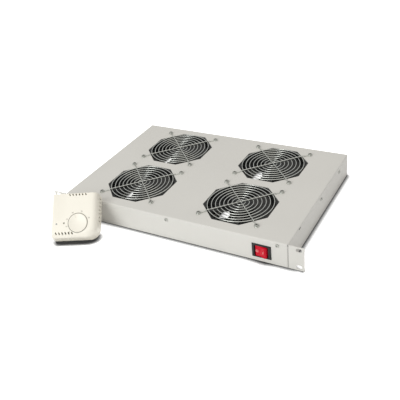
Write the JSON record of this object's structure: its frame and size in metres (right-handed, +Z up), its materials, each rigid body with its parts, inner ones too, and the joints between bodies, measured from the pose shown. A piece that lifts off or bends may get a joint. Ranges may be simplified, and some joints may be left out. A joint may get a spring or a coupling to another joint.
{
  "type": "rack fan tray",
  "caption": "One-unit rack tray of folded sheet with axial fans under wire guards, a lit rocker switch and a room thermostat",
  "frame": {"origin": "centre of the four rack slots, on the front face of the panel", "axes": "+X to the right seen from the front, +Y from the front to the rear of the tray, +Z up"},
  "size_m": [0.4826, 0.4042, 0.0732],
  "materials": {
    "grey_coat": "fine satin powder coat",
    "plated_wire": "bright plated",
    "zinc_steel": "zinc plated",
    "black_paint": "black satin paint on the casting",
    "black_plastic": "fine grain",
    "red_lens": "lit from inside",
    "motor_steel": "bare",
    "bearing_bronze": "sintered",
    "contact_brass": "plain",
    "white_lead": "flexible",
    "cream_plastic": "satin",
    "lamp_grey": "clear",
    "grey_plastic": "plain"
  },
  "bodies": {
    "tray": {"bottom_cover": "grey_coat", "cable_gland": "grey_plastic", "case_screws": "zinc_steel", "earth_nut": "contact_brass", "earth_stud": "contact_brass", "fan_bearings": "bearing_bronze", "fan_frame_front_left": "black_paint", "fan_frame_front_right": "black_paint", "fan_frame_rear_left": "black_paint", "fan_frame_rear_right": "black_paint", "fan_leads_front_left": "white_lead", "fan_leads_front_right": "white_lead", "fan_leads_rear_left": "white_lead", "fan_leads_rear_right": "white_lead", "gland_nut": "grey_plastic", "guard_front_left": "plated_wire", "guard_front_right": "plated_wire", "guard_rear_left": "plated_wire", "guard_rear_right": "plated_wire", "guard_screws": "zinc_steel", "inlet_pins": "contact_brass", "inlet_screws": "zinc_steel", "power_inlet": "black_plastic", "stator_front_left": "motor_steel", "stator_front_right": "motor_steel", "stator_rear_left": "motor_steel", "stator_rear_right": "motor_steel", "supply_leads": "black_plastic", "switch_contacts": "contact_brass", "switch_housing": "black_plastic", "terminal_block": "grey_plastic", "terminal_screws": "zinc_steel", "thermostat_base": "cream_plastic", "thermostat_bimetal": "contact_brass", "thermostat_cover": "cream_plastic", "thermostat_lamp": "lamp_grey", "thermostat_screw": "zinc_steel", "thermostat_switch": "grey_plastic", "thermostat_terminals": "grey_plastic", "top_cover": "grey_coat"},
    "impeller_front_left": {"impeller_front_left": "black_plastic", "shaft_front_left": "zinc_steel"},
    "impeller_front_right": {"impeller_front_right": "black_plastic", "shaft_front_right": "zinc_steel"},
    "impeller_rear_left": {"impeller_rear_left": "black_plastic", "shaft_rear_left": "zinc_steel"},
    "impeller_rear_right": {"impeller_rear_right": "black_plastic", "shaft_rear_right": "zinc_steel"},
    "rocker": {"switch_rocker": "red_lens"},
    "dial": {"thermostat_dial": "cream_plastic", "thermostat_spindle": "cream_plastic"}
  },
  "joints": [
    {"name": "fan_spin_front_left", "type": "hinge", "parent": "tray", "child": "impeller_front_left", "pos_m": [-0.0995, 0.08025, 0.017], "axis": [0, 0, 1], "continuous": true},
    {"name": "fan_spin_front_right", "type": "hinge", "parent": "tray", "child": "impeller_front_right", "pos_m": [0.0995, 0.08025, 0.017], "axis": [0, 0, 1], "continuous": true},
    {"name": "fan_spin_rear_left", "type": "hinge", "parent": "tray", "child": "impeller_rear_left", "pos_m": [-0.0995, 0.21725, 0.017], "axis": [0, 0, 1], "continuous": true},
    {"name": "fan_spin_rear_right", "type": "hinge", "parent": "tray", "child": "impeller_rear_right", "pos_m": [0.0995, 0.21725, 0.017], "axis": [0, 0, 1], "continuous": true},
    {"name": "switch_rock", "type": "hinge", "parent": "tray", "child": "rocker", "pos_m": [0.1716, 0.003, -0.0019], "axis": [0, 0, 1], "range_deg": [0, 24]},
    {"name": "dial_turn", "type": "hinge", "parent": "tray", "child": "dial", "pos_m": [-0.1387, -0.06193, 0.01646], "axis": [0.2773, -0.5946, 0.7547], "range_deg": [-110, 110]}
  ]
}
